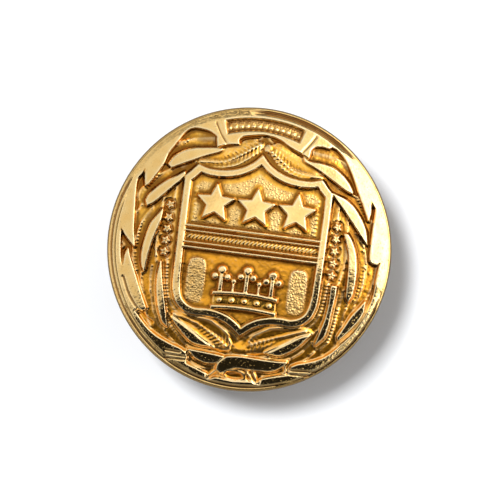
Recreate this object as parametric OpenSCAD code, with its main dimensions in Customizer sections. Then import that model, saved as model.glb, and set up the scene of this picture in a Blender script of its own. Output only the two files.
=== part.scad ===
// Round domed cap badge, screw-back. Millimetres, +Z towards the viewer of
// the face, +Y to the top of the badge. The origin is on the screw post's
// axis, in the plane of the back plate that lies against the cap.

/* [Face] */
// Overall diameter over the rolled edge
face_d = 28; // [26:0.5:32]
// Radius of the sphere that the domed face follows
dome_r = 28.5; // [26:0.5:34]
// Height of the plain dome above the back plate's plane
dome_h = 4.6; // [4.4:0.1:5.4]
// Thickness of the struck shell
shell_t = 0.5; // [0.4:0.05:0.6]
// Height of the raised work above the dome
relief_h = 0.45; // [0.3:0.05:0.6]

/* [Back plate] */
// Thickness of the pressed back plate
plate_t = 0.4; // [0.3:0.05:0.4]
// Diameter of the hidden stiffening disc
stiff_d = 22; // [18:0.5:22]
// Thickness of the hidden stiffening disc
stiff_t = 0.8; // [0.6:0.1:0.8]

/* [Screw post] */
// Diameter of the plain shank, which sits in the cap's hole
shank_d = 3.0; // [3.0:0.1:3.4]
// Length of the plain shank
shank_l = 2.6; // [2.2:0.1:2.7]
// Length of the groove between the shank and the thread
relief_l = 0.6; // [0.6:0.1:0.8]
// Major diameter of the thread
thread_d = 2.94; // [2.9:0.01:2.96]
// Pitch of the thread
pitch = 0.5; // [0.5:0.05:0.6]
// Length of the post below the back plate
post_l = 6.8; // [6.4:0.1:7.0]

/* [Locating pins] */
// Distance between the two pins
pin_gap = 18; // [17.5:0.5:19]
// Diameter of a pin
pin_d = 1.2; // [1.0:0.1:1.3]
// Diameter of its shoulder, inside the back plate
pin_shoulder = 1.7; // [1.6:0.1:1.8]
// Length of a pin to the start of its point
pin_l = 2.8; // [2.4:0.1:3.2]

/* [Clamp] */
// Diameter of the clamping disc
disc_d = 14; // [12:0.5:14.5]
// Thickness of the clamping disc's metal
disc_t = 0.5; // [0.4:0.05:0.5]
// Space between the back plate and the clamping disc, for the cap's front
cloth_gap = 3.0; // [3.0:0.1:3.2]
// Diameter of the knurled nut
nut_d = 11; // [10:0.5:12]
// Number of ridges round the nut
nut_ridges = 40; // [30:2:48]

/* [Hidden] */
$fn = 96;
R = face_d / 2;
k = R / 10;                       // one unit of the face's layout
zc = dome_h - dome_r;             // centre of the dome's sphere
bead = 0.55;                      // radius of the rolled edge
r_dome = R - 0.45;                // where the dome meets the rolled edge
gold = [0.93, 0.74, 0.36];
brass = [0.80, 0.62, 0.30];
steel = [0.62, 0.63, 0.65];
board = [0.56, 0.47, 0.36];
f = 0.02;                         // running gap between pressed parts

// Face layout, in units of a tenth of the radius.
// A leaf: [base, tip, bow of its left side, bow of its right side].
leaves = [
  // left branch, from the ribbon up
  [[-3.7, -7.6], [-7.5, -5.1],  0.75, -0.30],
  [[-1.7, -7.1], [-4.8, -5.2],  0.42,  0.02],
  [[-0.3, -6.95],[-4.9, -4.95], 0.10,  0.80],
  [[-5.0, -6.1], [-6.0, -1.6],  0.28,  0.10],
  [[-6.2, -5.9], [-8.5, -1.0],  0.62, -0.05],
  [[-8.55,-2.7], [-9.1,  0.5],  0.30, -0.10],
  [[-7.1, -2.5], [-6.4,  2.0],  0.36,  0.12],
  [[-8.0, -0.7], [-8.2,  4.5],  0.55,  0.20],
  [[-7.8,  2.2], [-4.9,  5.0],  0.22,  0.16],
  [[-7.5,  3.2], [-5.3,  7.75], 0.60,  0.10],
  [[-6.4,  5.0], [-2.8,  6.7],  0.52,  0.02],
  // right branch
  [[ 3.7, -7.7], [ 7.3, -6.0],  0.30, -0.75],
  [[ 2.1, -7.1], [ 4.9, -5.3],  0.05,  0.40],
  [[ 0.3, -6.95],[ 5.0, -4.95], 0.80,  0.15],
  [[ 5.4, -6.0], [ 6.2, -1.7],  0.12,  0.26],
  [[ 6.4, -5.9], [ 8.7, -2.4],  0.10,  0.55],
  [[ 8.9, -2.6], [ 8.8,  0.2],  0.15,  0.30],
  [[ 7.45,-2.6], [ 6.6,  1.9],  0.05,  0.42],
  [[ 8.4, -0.7], [ 8.3,  4.3], -0.15,  0.62],
  [[ 8.1,  1.8], [ 5.4,  4.6],  0.10,  0.30],
  [[ 7.9,  3.1], [ 5.5,  7.8], -0.10,  0.60],
  [[ 6.75, 4.7], [ 3.3,  6.6], -0.02,  0.58],
  // pair under the cartouche
  [[-0.2,  7.4], [-4.3,  5.7],  0.62,  0.20],
  [[ 0.5,  7.3], [ 4.6,  5.6],  0.20,  0.62]];
// Half of the shield's outer edge, from the top point to the bottom point.
shield_out = [[0, 6.6], [0.5, 6.05], [1.15, 5.6], [1.95, 5.3], [2.9, 5.17],
  [3.7, 5.22], [4.35, 5.42], [4.75, 4.95], [5.15, 4.55], [5.15, 2.5],
  [5.08, -2.4], [5.0, -3.4], [4.7, -4.2], [4.15, -4.72], [3.5, -4.93],
  [2.6, -4.9], [1.9, -4.95], [1.2, -5.15], [0.6, -5.5], [0, -6.0]];
// Half of its inner edge.
shield_in = [[0, 6.0], [0.6, 5.5], [1.3, 5.1], [2.0, 4.88], [2.9, 4.77],
  [3.6, 4.82], [4.1, 4.95], [4.45, 4.55], [4.75, 4.25], [4.75, 2.5],
  [4.68, -2.4], [4.6, -3.2], [4.4, -3.9], [4.0, -4.32], [3.4, -4.53],
  [2.6, -4.5], [1.9, -4.55], [1.1, -4.78], [0.45, -5.15], [0, -5.55]];

function flip(p) = [for (i = [len(p) - 2 : -1 : 1]) [-p[i][0], p[i][1]]];

// Layer that follows the dome between two heights above it.
module dome_layer(lo, hi, r) {
  difference() {
    intersection() {
      translate([0, 0, zc]) sphere(r = dome_r + hi);
      translate([0, 0, 0.9]) cylinder(r = r, h = 8);
    }
    translate([0, 0, zc]) sphere(r = dome_r + lo);
  }
}

// Leaf from base to tip, with a bow of its own on each side.
module leaf(l) {
  b = l[0] * k; t = l[1] * k; d = t - b; c = norm(d); n = 7;
  translate([b[0], b[1], 0]) rotate(atan2(d[1], d[0]))
    linear_extrude(10) polygon(concat(
      [for (i = [0 : n]) [c * i / n, l[2] * k * 4 * i * (n - i) / n / n]],
      [for (i = [n - 1 : -1 : 1])
        [c * i / n, -l[3] * k * 4 * i * (n - i) / n / n]]));
}

module outline(p) {
  linear_extrude(10) polygon(k * concat(p, flip(p)));
}

module star(x, y, r) {
  translate([x * k, y * k, 0]) linear_extrude(10)
    polygon([for (i = [0 : 9]) let (q = (i % 2 == 0 ? r : r * 0.42) * k)
      [q * sin(i * 36), q * cos(i * 36)]]);
}

// Band of an annulus about a centre below or above the face's centre.
module arc_band(cy, r0, r1, half_angle) {
  translate([0, cy * k, 0]) intersection() {
    difference() {
      cylinder(r = r1 * k, h = 10);
      translate([0, 0, -1]) cylinder(r = r0 * k, h = 12);
    }
    linear_extrude(10) polygon([[0, 0],
      [-60 * sin(half_angle), 60 * cos(half_angle)],
      [60 * sin(half_angle), 60 * cos(half_angle)]]);
  }
}

// Open coronet: a circlet of two rails with three fleurons and two pearls.
module coronet() {
  translate([-2.3 * k, -4.15 * k, 0]) cube([4.6 * k, 0.34 * k, 10]);
  translate([-2.3 * k, -3.25 * k, 0]) cube([4.6 * k, 0.34 * k, 10]);
  for (x = [-1.9, 0, 1.9]) translate([x * k, -2.0 * k, 0]) {
    cylinder(r = 0.42 * k, h = 10);
    for (a = [-1, 1]) translate([a * 0.45 * k, -0.25 * k, 0])
      cylinder(r = 0.3 * k, h = 10);
    translate([-0.16 * k, -1.0 * k, 0]) cube([0.32 * k, 1.0 * k, 10]);
  }
  for (x = [-0.98, 0.98]) translate([x * k, -2.5 * k, 0])
    cylinder(r = 0.22 * k, h = 10);
}

// Struck face: dome, raised work and the edge rolled round the back plate.
module face_shell() {
  color(gold) {
    dome_layer(-shell_t, 0, r_dome);
    rotate_extrude() {
      translate([R - bead, bead]) circle(r = bead, $fn = 24);
      translate([R - 1.6, 0]) square([1.6 - bead, plate_t]);
    }
    intersection() {
      dome_layer(-0.2, relief_h, r_dome - 0.25);
      union() {
        for (l = leaves) leaf(l);
        difference() {
          outline(shield_out);
          translate([0, 0, -0.5]) outline(shield_in);
        }
        for (x = [-2.85, 0, 2.85]) star(x, 2.75, 1.2);
        // band across the shield: two rails
        for (y = [-0.35, 0.85]) translate([-4.5 * k, y * k, 0])
          cube([9.0 * k, 0.3 * k, 10]);
        coronet();
        // cartouche over the leaves
        difference() {
          arc_band(0, 8.1, 9.5, 21);
          translate([0, 0, -1]) arc_band(0, 8.5, 9.15, 17.5);
        }
        // ribbon at the foot of the wreath
        mirror([0, 1, 0]) arc_band(0.3, 7.7, 8.5, 25);
        translate([0, -8.85 * k, 0]) cylinder(r = 0.5 * k, h = 10);
      }
    }
  }
}

// Pressed board that backs the struck work.
module filler_disc() {
  color(board)
    intersection() {
      translate([0, 0, zc]) sphere(r = dome_r - shell_t - 0.06, $fn = 144);
      translate([0, 0, 2.32]) cylinder(r = R, h = 4);
    }
}

// Steel disc that spreads the post's pull.
module stiffener_disc() {
  z0 = plate_t + 0.25;
  color(steel)
    difference() {
      translate([0, 0, z0]) cylinder(d = stiff_d, h = stiff_t);
      translate([0, 0, z0 - 1]) cylinder(d = shank_d + 0.5 + 2 * f, h = 4);
      for (s = [-1, 1]) translate([s * pin_gap / 2, 0, z0 - 1])
        cylinder(d = pin_shoulder + 2 * f, h = 4);
    }
}

// Back plate with a pressed ring and a raised flange held by the rolled edge.
module back_plate() {
  t = plate_t;
  color(brass)
    difference() {
      rotate_extrude()
        polygon([[shank_d / 2 + 0.25 + f, 0], [6.6, 0], [6.9, 0.2],
          [7.7, 0.2], [8.0, 0], [R - 2.2, 0], [R - 1.75, t + f],
          [R - 1.16, t + f], [R - 1.16, 2 * t + f], [R - 1.9, 2 * t + f],
          [R - 2.4, t], [8.1, t], [7.8, t + 0.2], [6.8, t + 0.2],
          [6.5, t], [shank_d / 2 + 0.25 + f, t]]);
      for (s = [-1, 1]) translate([s * pin_gap / 2, 0, -1])
        cylinder(d = pin_shoulder + 2 * f, h = 3);
    }
}

// Post: head over the stiffener, shoulder, plain shank and thread.
module screw_post() {
  z1 = plate_t + 0.25 + stiff_t + f;
  rt = thread_d / 2; rm = rt - 0.54 * pitch;
  zt = shank_l + relief_l;
  n = floor((post_l - zt - 0.4) / pitch);
  color(brass) {
    translate([0, 0, z1]) cylinder(d = 6, h = 0.8);
    cylinder(d = shank_d + 0.5, h = z1);
    translate([0, 0, -shank_l]) cylinder(d = shank_d, h = shank_l);
    translate([0, 0, -zt]) cylinder(r = rm, h = relief_l);
    rotate_extrude()
      polygon(concat([[0, -zt], [rm, -zt]],
        [for (i = [0 : n - 1]) each [
          [rt, -zt - (i + 0.3) * pitch],
          [rt, -zt - (i + 0.5) * pitch],
          [rm, -zt - (i + 0.8) * pitch],
          [rm, -zt - (i + 1) * pitch]]],
        [[rm - 0.1, -post_l], [0, -post_l]]));
  }
}

// Two pointed pins with flat heads that stop the badge from turning.
module locating_pins() {
  z1 = plate_t + 0.25 + stiff_t + f;
  color(brass)
    for (s = [-1, 1]) translate([s * pin_gap / 2, 0, 0]) {
      translate([0, 0, z1]) cylinder(d = pin_shoulder + 1, h = 0.5);
      cylinder(d = pin_shoulder, h = z1);
      translate([0, 0, -pin_l]) cylinder(d = pin_d, h = pin_l);
      rotate_extrude()
        polygon([[0, -pin_l], [pin_d / 2, -pin_l], [0.08, -pin_l - 0.8],
          [0, -pin_l - 0.8]]);
    }
}

// Dished disc that bears on the inside of the cap.
module clamping_disc() {
  r = disc_d / 2; z = -cloth_gap; t = disc_t; c = 2.6 + 0.06;
  color(brass)
    rotate_extrude()
      polygon([[c, z - 0.45], [r - 2.4, z - 0.45], [r - 1.9, z - 0.12],
        [r - 1.5, z], [r - 0.5, z], [r - 0.1, z - 0.15],
        [r, z - 0.45], [r, z - 0.8], [r - 0.4, z - 0.8],
        [r - 0.5, z - t], [r - 1.4, z - t],
        [r - 1.7, z - 0.12 - t], [r - 2.2, z - 0.45 - t], [c, z - 0.45 - t]]);
}

// Knurled nut with a neck spun over the clamping disc.
module thumb_nut() {
  r = nut_d / 2; zt = -cloth_gap - 0.45 - disc_t - 0.04; zb = -post_l - 0.4;
  m = 2 * nut_ridges;
  color(gold)
    difference() {
      union() {
        intersection() {
          translate([0, 0, zb - 1]) linear_extrude(zt - zb + 2)
            polygon([for (i = [0 : 2 * m - 1])
              let (q = (i % 4 < 2) ? r : r - 0.3, a = i * 180 / m)
              [q * cos(a), q * sin(a)]]);
          rotate_extrude()
            polygon([[0, zt], [r - 0.6, zt], [r, zt - 0.45],
              [r, zb + 0.45], [r - 0.45, zb], [0, zb]]);
        }
        // shoulder, neck and spun lip
        translate([0, 0, zt - 0.5]) cylinder(r = 2.6, h = 0.5 + disc_t + 0.08);
        rotate_extrude()
          polygon([[0, zt + disc_t + 0.08], [3.1, zt + disc_t + 0.08],
            [3.05, zt + disc_t + 0.2], [2.7, zt + disc_t + 0.32],
            [0, zt + disc_t + 0.32]]);
      }
      translate([0, 0, zb - 1]) cylinder(d = thread_d + 0.12, h = 8);
      rotate_extrude()
        polygon([[0, zb - 0.01], [thread_d / 2 + 0.46, zb - 0.01],
          [thread_d / 2 + 0.06, zb + 0.4], [0, zb + 0.4]]);
      // shallow turned groove in the outer face
      rotate_extrude()
        polygon([[3.0, zb - 0.01], [4.3, zb - 0.01], [4.1, zb + 0.2],
          [3.2, zb + 0.2]]);
    }
}

face_shell();
filler_disc();
stiffener_disc();
back_plate();
screw_post();
locating_pins();
clamping_disc();
thumb_nut();
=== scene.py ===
import math

import bpy
import numpy as np
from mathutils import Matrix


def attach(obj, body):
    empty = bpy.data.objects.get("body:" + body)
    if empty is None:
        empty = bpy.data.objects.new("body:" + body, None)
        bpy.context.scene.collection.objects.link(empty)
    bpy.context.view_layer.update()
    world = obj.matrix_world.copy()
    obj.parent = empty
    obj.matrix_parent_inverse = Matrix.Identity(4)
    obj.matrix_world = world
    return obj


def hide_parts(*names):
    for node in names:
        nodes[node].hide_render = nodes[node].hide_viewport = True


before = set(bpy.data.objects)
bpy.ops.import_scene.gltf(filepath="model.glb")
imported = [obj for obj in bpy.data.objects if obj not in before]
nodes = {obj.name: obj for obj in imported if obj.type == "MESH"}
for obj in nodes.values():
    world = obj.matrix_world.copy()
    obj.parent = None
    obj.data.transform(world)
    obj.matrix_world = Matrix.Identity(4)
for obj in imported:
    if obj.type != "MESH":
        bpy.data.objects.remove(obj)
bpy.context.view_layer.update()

# ---------------------------------------------------------------- dimensions
# Metres. Lengths of the face's layout are in units of a tenth of its radius.
MM = 0.001
R = 14.0                     # outer radius, mm
K = R / 10                   # one layout unit, mm
DOME_R = 28.5
ZC = 4.6 - DOME_R            # centre of the dome's sphere
H = 0.42                     # level of the satin tops above the dome
WALL = 0.26                  # height of the steep wall round a satin top
DEEP = 0.36                  # depth of the scoops under the dome
EDGE = 13.72                 # radius where the struck face ends


# ------------------------------------------------------------ layout raster
STEP = 0.02
SPAN = 10.2
CELLS = int(round(2 * SPAN / STEP)) + 1
AXIS = -SPAN + STEP * np.arange(CELLS)
UU, VV = np.meshgrid(AXIS, AXIS)
RR = np.hypot(UU, VV)
rng = np.random.default_rng(28)


def window(u0, u1, v0, v1):
    i = max(0, int((u0 + SPAN) / STEP)), min(CELLS, int((u1 + SPAN) / STEP) + 2)
    j = max(0, int((v0 + SPAN) / STEP)), min(CELLS, int((v1 + SPAN) / STEP) + 2)
    return slice(j[0], j[1]), slice(i[0], i[1])


def smooth(points, closed=True, parts=5, sharp=42):
    """A curve through the points that keeps the sharp corners."""
    P = np.array(points, float)
    m = len(P)
    corner = np.zeros(m, bool)
    for i in range(m):
        if not closed and i in (0, m - 1):
            corner[i] = True
            continue
        a, b = P[i] - P[i - 1], P[(i + 1) % m] - P[i]
        turn = abs(math.atan2(a[0] * b[1] - a[1] * b[0], a @ b))
        corner[i] = math.degrees(turn) > sharp
    out = []
    for i in range(m if closed else m - 1):
        p1, p2 = P[i], P[(i + 1) % m]
        p0 = 2 * p1 - p2 if corner[i] else P[i - 1]
        p3 = 2 * p2 - p1 if corner[(i + 1) % m] else P[(i + 2) % m]
        # short neighbours don't bend a long span much
        span = np.linalg.norm(p2 - p1)
        a, b = p2 - p0, p3 - p1
        a *= min(1, 1.6 * span / (np.linalg.norm(a) + 1e-9))
        b *= min(1, 1.6 * span / (np.linalg.norm(b) + 1e-9))
        for j in range(parts):
            t = j / parts
            h00, h10 = 2 * t**3 - 3 * t**2 + 1, t**3 - 2 * t**2 + t
            h01, h11 = -2 * t**3 + 3 * t**2, t**3 - t**2
            out.append(h00 * p1 + h10 * a * 0.5 + h01 * p2 + h11 * b * 0.5)
    if not closed:
        out.append(P[-1])
    return np.array(out)


def lens(base, tip, left, right, parts=14):
    """Outline of a leaf from base to tip, bowed by left and right."""
    b, t = np.array(base, float), np.array(tip, float)
    d = t - b
    nrm = np.array([-d[1], d[0]]) / np.linalg.norm(d)
    q = np.linspace(0, 1, parts + 1)
    w = 4 * q * (1 - q)
    up = b + np.outer(q, d) + np.outer(w * left, nrm)
    dn = b + np.outer(q, d) - np.outer(w * right, nrm)
    return np.vstack([up, dn[-2:0:-1]])


def distance(paths, closed=True, far=1.3):
    """(distance to the nearest path, length along it at the nearest point)."""
    d = np.full((CELLS, CELLS), far * far)
    s = np.zeros((CELLS, CELLS))
    for P in paths:
        P = np.asarray(P, float)
        Q = np.vstack([P, P[:1]]) if closed else P
        run = 0.0
        for a, b in zip(Q[:-1], Q[1:]):
            e = b - a
            L2 = float(e @ e)
            if L2 < 1e-12:
                continue
            w = window(min(a[0], b[0]) - far, max(a[0], b[0]) + far,
                       min(a[1], b[1]) - far, max(a[1], b[1]) + far)
            du, dv = UU[w] - a[0], VV[w] - a[1]
            t = np.clip((du * e[0] + dv * e[1]) / L2, 0, 1)
            q = (du - t * e[0]) ** 2 + (dv - t * e[1]) ** 2
            near = q < d[w]
            d[w] = np.where(near, q, d[w])
            s[w] = np.where(near, run + t * math.sqrt(L2), s[w])
            run += math.sqrt(L2)
    return np.sqrt(d), s


def inside(P):
    P = np.asarray(P, float)
    m = np.zeros((CELLS, CELLS), bool)
    for a, b in zip(P, np.roll(P, -1, axis=0)):
        if a[1] == b[1]:
            continue
        lo, hi = min(a[1], b[1]), max(a[1], b[1])
        w = window(-SPAN, max(a[0], b[0]) + STEP, lo, hi)
        v = VV[w]
        at = a[0] + (v - a[1]) * (b[0] - a[0]) / (b[1] - a[1])
        m[w] ^= (v > lo) & (v <= hi) & (UU[w] < at)
    return m


def union(polys):
    m = np.zeros((CELLS, CELLS), bool)
    for p in polys:
        m |= inside(p)
    return m


def blur(a, sigma):
    """Gaussian blur, sigma in layout units."""
    n = max(1, int(3 * sigma / STEP))
    k = np.exp(-0.5 * (np.arange(-n, n + 1) * STEP / sigma) ** 2)
    k /= k.sum()
    for axis in (0, 1):
        p = np.pad(a, [(n, n) if i == axis else (0, 0) for i in (0, 1)], mode="edge")
        o = np.zeros_like(a)
        for i, w in enumerate(k):
            o += w * (p[i:i + CELLS] if axis == 0 else p[:, i:i + CELLS])
        a = o
    return a


def step(lo, hi, x):
    t = np.clip((x - lo) / (hi - lo), 0, 1)
    return t * t * (3 - 2 * t)


def round_off(d, a=0.09):
    """The distance with a rounded start, for a rounded shoulder."""
    return np.sqrt(d * d + a * a) - a


def scoop(d, wide, floor):
    """Height beside a satin top: a short steep wall, then a concave floor."""
    t = np.clip(d / wide, 0, 1)
    return H - WALL * step(-0.01, 0.15, d) - (H - WALL - floor) * (1 - (1 - t) ** 2)


def reach(mask, sign, far=2.3, pace=0.05):
    """How far it is to the mask, outwards (1) or inwards (-1) from the middle."""
    out = np.full((CELLS, CELLS), far)
    cu, cv = UU / np.maximum(RR, 0.1), VV / np.maximum(RR, 0.1)
    for s in np.arange(far, 0, -pace):
        i = np.clip(((UU + sign * s * cu + SPAN) / STEP).astype(int), 0, CELLS - 1)
        j = np.clip(((VV + sign * s * cv + SPAN) / STEP).astype(int), 0, CELLS - 1)
        out = np.where(mask[j, i], s, out)
    return out


def grain(sigma, stretch=None):
    """Smooth noise with unit spread."""
    a = rng.standard_normal((CELLS, CELLS))
    a = blur(a, sigma)
    return a / a.std()


def pebbles(cell, size=0.42):
    """Close round bumps of the given pitch, 0 to 1."""
    out = np.zeros((CELLS, CELLS))
    m = int(2 * SPAN / cell) + 2
    jit = rng.uniform(-0.26, 0.26, (m, m, 2))
    big = rng.uniform(0.75, 1.1, (m, m))
    i0 = np.floor((UU + SPAN) / cell).astype(int)
    j0 = np.floor((VV + SPAN) / cell).astype(int)
    for dj in (-1, 0, 1):
        for di in (-1, 0, 1):
            i, j = np.clip(i0 + di, 0, m - 1), np.clip(j0 + dj, 0, m - 1)
            cu = (i + 0.5 * (j % 2) + 0.25 + jit[j, i, 0]) * cell - SPAN
            cv = (j + 0.5 + jit[j, i, 1]) * cell - SPAN
            q = 1 - ((UU - cu) ** 2 + (VV - cv) ** 2) / (size * big[j, i] * cell) ** 2
            out = np.maximum(out, np.clip(q, 0, 1))
    return np.sqrt(out)


# ----------------------------------------------------- layout of the face
# Inner edge of the wide satin border, clockwise from the top.
BORDER = [
    (0, 8.08), (0.8, 8.0), (1.4, 7.78), (1.95, 7.45), (2.4, 7.25), (2.9, 7.05),
    (3.3, 6.85), (3.4, 7.45), (3.6, 7.68), (4.1, 7.78), (4.6, 7.72), (4.8, 7.85),
    (5.2, 7.72), (5.7, 7.3), (6.1, 6.8), (6.45, 6.2), (6.8, 5.5), (7.1, 4.85),
    (7.4, 4.3), (7.65, 3.8), (7.9, 3.3), (8.0, 3.05), (8.1, 3.6), (8.02, 4.45),
    (8.25, 4.15), (8.42, 3.9), (8.42, 3.2), (8.4, 2.5), (8.4, 1.5), (8.42, 0.6),
    (8.5, 0.2), (8.75, 0.1), (9.0, 0.1), (9.2, 0.3), (9.15, -0.3), (9.1, -1.0),
    (9.05, -2.0), (8.9, -2.8), (8.7, -3.5), (8.4, -4.2), (8.0, -4.9),
    (7.5, -5.5), (7.0, -6.05), (6.6, -6.5), (6.0, -6.95), (5.2, -7.3),
    (4.4, -7.55), (4.0, -7.75), (3.95, -7.95), (3.8, -8.4), (2.9, -8.65),
    (2.05, -8.9), (1.95, -9.4), (1.5, -9.3), (1.3, -9.2), (0, -9.3),
    (-1.2, -9.2), (-1.5, -9.35), (-1.9, -9.45), (-2.0, -9.0), (-2.8, -8.7),
    (-3.5, -8.45), (-3.45, -8.0), (-3.5, -7.75), (-3.85, -7.5), (-4.6, -7.25),
    (-5.5, -6.9), (-6.2, -6.5), (-6.95, -5.8), (-7.45, -5.25), (-7.35, -5.05),
    (-6.85, -5.15), (-6.65, -5.0), (-7.0, -4.3), (-7.45, -3.3), (-7.9, -2.3),
    (-8.25, -1.5), (-8.4, -1.0), (-8.55, -1.4), (-8.6, -2.0), (-8.65, -2.55),
    (-8.85, -1.8), (-9.02, -0.8), (-9.1, 0.45), (-8.7, -0.1), (-8.0, -0.8),
    (-8.1, -0.2), (-8.2, 0.3), (-8.28, 1.0), (-8.35, 2.0), (-8.42, 3.0),
    (-8.4, 3.9), (-8.15, 4.3), (-7.95, 4.75), (-7.85, 3.9), (-7.75, 3.5),
    (-7.55, 3.7), (-7.3, 4.1), (-6.95, 4.7), (-6.75, 5.1), (-6.5, 5.9),
    (-6.1, 6.6), (-5.7, 7.3), (-5.35, 7.75), (-4.9, 7.98), (-4.4, 7.98),
    (-3.7, 7.85), (-3.25, 7.6), (-3.2, 7.3), (-3.1, 6.85), (-2.6, 7.05),
    (-2.4, 7.1), (-1.65, 7.2), (-1.75, 7.5), (-1.4, 7.8), (-0.8, 7.95),
]
# Satin tops of the leaves that stand inside it.
TOPS = [
    [(-6.35, 5.2), (-6.0, 5.8), (-5.4, 6.25), (-4.7, 6.5), (-3.9, 6.62),
     (-3.2, 6.7), (-2.75, 6.7), (-2.9, 6.5), (-3.5, 6.25), (-4.1, 6.0),
     (-4.8, 5.65), (-5.5, 5.3), (-6.1, 5.0)],
    [(-7.45, 2.15), (-7.0, 2.45), (-6.3, 3.2), (-5.7, 3.85), (-5.3, 4.3),
     (-5.15, 4.55), (-5.15, 4.8), (-5.6, 4.45), (-6.2, 4.1), (-6.8, 3.6),
     (-7.4, 2.95), (-7.6, 2.5)],
    [(-6.35, 2.0), (-6.35, 1.5), (-6.6, 0.5), (-6.85, -0.5), (-7.0, -1.5),
     (-7.05, -2.35), (-7.1, -2.4), (-7.3, -2.0), (-7.4, -1.3), (-7.35, -0.5),
     (-7.2, 0.3), (-7.0, 1.0), (-6.6, 1.6)],
    [(-6.0, -1.6), (-5.75, -3.0), (-5.4, -4.5), (-5.05, -6.0), (-5.4, -5.7),
     (-5.8, -4.7), (-6.05, -3.5), (-6.1, -2.5)],
    [(-4.7, -5.4), (-4.0, -5.75), (-3.2, -6.25), (-2.4, -6.75), (-1.9, -7.0),
     (-2.5, -7.0), (-3.2, -6.85), (-3.9, -6.3), (-4.5, -5.7)],
    [(2.95, 6.85), (3.35, 6.6), (4.2, 6.55), (5.1, 6.38), (5.8, 5.95),
     (6.3, 5.45), (6.6, 5.0), (6.65, 4.8), (6.4, 4.85), (5.9, 5.1), (5.2, 5.5),
     (4.4, 5.95), (3.7, 6.3), (3.1, 6.55)],
    [(5.3, 4.6), (6.2, 4.3), (6.9, 3.8), (7.5, 3.05), (7.9, 2.3), (8.1, 1.4),
     (7.8, 1.7), (7.3, 2.3), (6.7, 3.0), (6.0, 3.8), (5.5, 4.35)],
    [(6.45, 1.9), (6.7, 1.3), (6.95, 0.5), (7.05, -0.5), (7.1, -1.5),
     (7.15, -2.4), (7.3, -2.7), (7.5, -2.3), (7.6, -1.5), (7.6, -0.7),
     (7.5, 0.2), (7.3, 0.9), (7.0, 1.5), (6.7, 1.9)],
    [(6.0, -1.8), (6.0, -3.0), (5.9, -4.0), (5.7, -4.9), (5.4, -6.0),
     (5.95, -5.4), (6.15, -4.5), (6.25, -3.3), (6.35, -2.5), (6.35, -1.8)],
    [(8.5, -2.6), (8.5, -3.3), (8.2, -4.0), (7.6, -4.8), (7.0, -5.5),
     (6.9, -5.3), (7.3, -4.5), (7.7, -3.7), (8.2, -3.0)],
    [(2.25, -7.0), (3.0, -7.05), (3.7, -6.7), (4.3, -6.2), (4.9, -5.45),
     (4.4, -5.6), (3.5, -6.2), (2.9, -6.6)],
    # ribbon
    [(-0.55, -7.6), (0.5, -7.5), (2.0, -7.55), (3.0, -7.55), (3.6, -7.5),
     (3.4, -7.75), (2.9, -8.1), (2.4, -8.25), (1.0, -8.3), (0.2, -8.3),
     (-0.3, -8.45), (-0.9, -8.8), (-1.2, -8.6), (-1.15, -8.2), (-0.8, -7.8)],
    [(-3.3, -7.45), (-2.5, -7.5), (-1.2, -7.6), (-0.9, -7.65), (-1.3, -8.1),
     (-2.0, -8.2), (-2.8, -7.95)],
]
# Lines of the ribbon's tails and knot.
RIBBON = [
    [(-3.5, -7.6), (-3.4, -8.4), (-1.95, -8.95), (-1.75, -9.2), (-1.2, -8.6)],
    [(1.3, -8.4), (1.75, -9.25), (2.0, -8.95), (3.6, -8.42), (3.55, -7.8)],
    [(0.5, -8.55), (1.1, -9.25)], [(0.85, -8.45), (1.45, -9.2)],
]
LOOP = [(0.1 + 0.75 * math.cos(a), -8.85 + 0.33 * math.sin(a))
        for a in np.linspace(0, 2 * math.pi, 40)[:-1]]
# Fine beaded ribs in the scoops between the leaves.
RIBS = [
    [(-7.8, 0.9), (-7.85, 0), (-7.8, -0.7)],
    [(-7.85, -1.2), (-7.65, -2.2), (-7.4, -2.8)],
    [(-6.75, -3.5), (-6.6, -4.1), (-6.45, -4.8), (-6.2, -5.6), (-5.9, -6.1),
     (-5.3, -6.6)],
    [(-5.55, -1.7), (-5.55, -2.5), (-5.45, -3.3), (-5.25, -4.2), (-5.05, -4.9)],
    [(-4.9, -5.6), (-4.6, -6.3), (-4.1, -6.8)],
    [(-6.6, -2.0), (-6.55, -2.8)], [(-6.95, 1.85), (-7.5, 0.95)],
    [(-4.5, 5.55), (-5.1, 5.25)], [(-5.2, 5.05), (-6.3, 4.5)],
    [(-4.5, 7.6), (-5.3, 7.0), (-6.0, 6.1), (-6.4, 5.4)],
    [(-7.0, 4.4), (-7.4, 3.7), (-7.9, 2.9)],
    [(5.65, -1.8), (5.65, -3.0), (5.5, -4.0)],
    [(6.7, -3.4), (6.6, -4.2), (6.4, -5.2), (6.2, -5.9)],
    [(7.95, -0.2), (7.95, -1.6), (7.7, -2.4), (7.4, -3.1)],
    [(6.65, -1.8), (6.65, -2.9)], [(7.15, 1.6), (7.6, 0.8)],
    [(4.7, 5.4), (5.3, 4.95), (6.0, 4.6), (6.7, 4.2)],
    [(3.5, 7.1), (4.6, 7.0), (5.2, 6.8), (6.0, 6.1), (6.6, 5.3)],
    [(7.0, 4.6), (7.4, 3.8), (7.8, 3.0)], [(8.1, 2.2), (8.2, 1.2)],
]
# Midribs of the four veined leaves, and the bright lower edges of two.
VEINS = [
    [(-4.6, -5.1), (-2.9, -5.6), (-1.6, -6.3), (-0.7, -6.95)],
    [(0.5, -6.8), (2.0, -6.1), (3.5, -5.55), (4.6, -5.15)],
    [(-4.2, 5.65), (-2.5, 5.85), (-1.5, 6.4), (-0.2, 7.3)],
    [(0.7, 6.9), (1.7, 6.2), (2.5, 5.75), (4.4, 5.55)],
]
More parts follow.
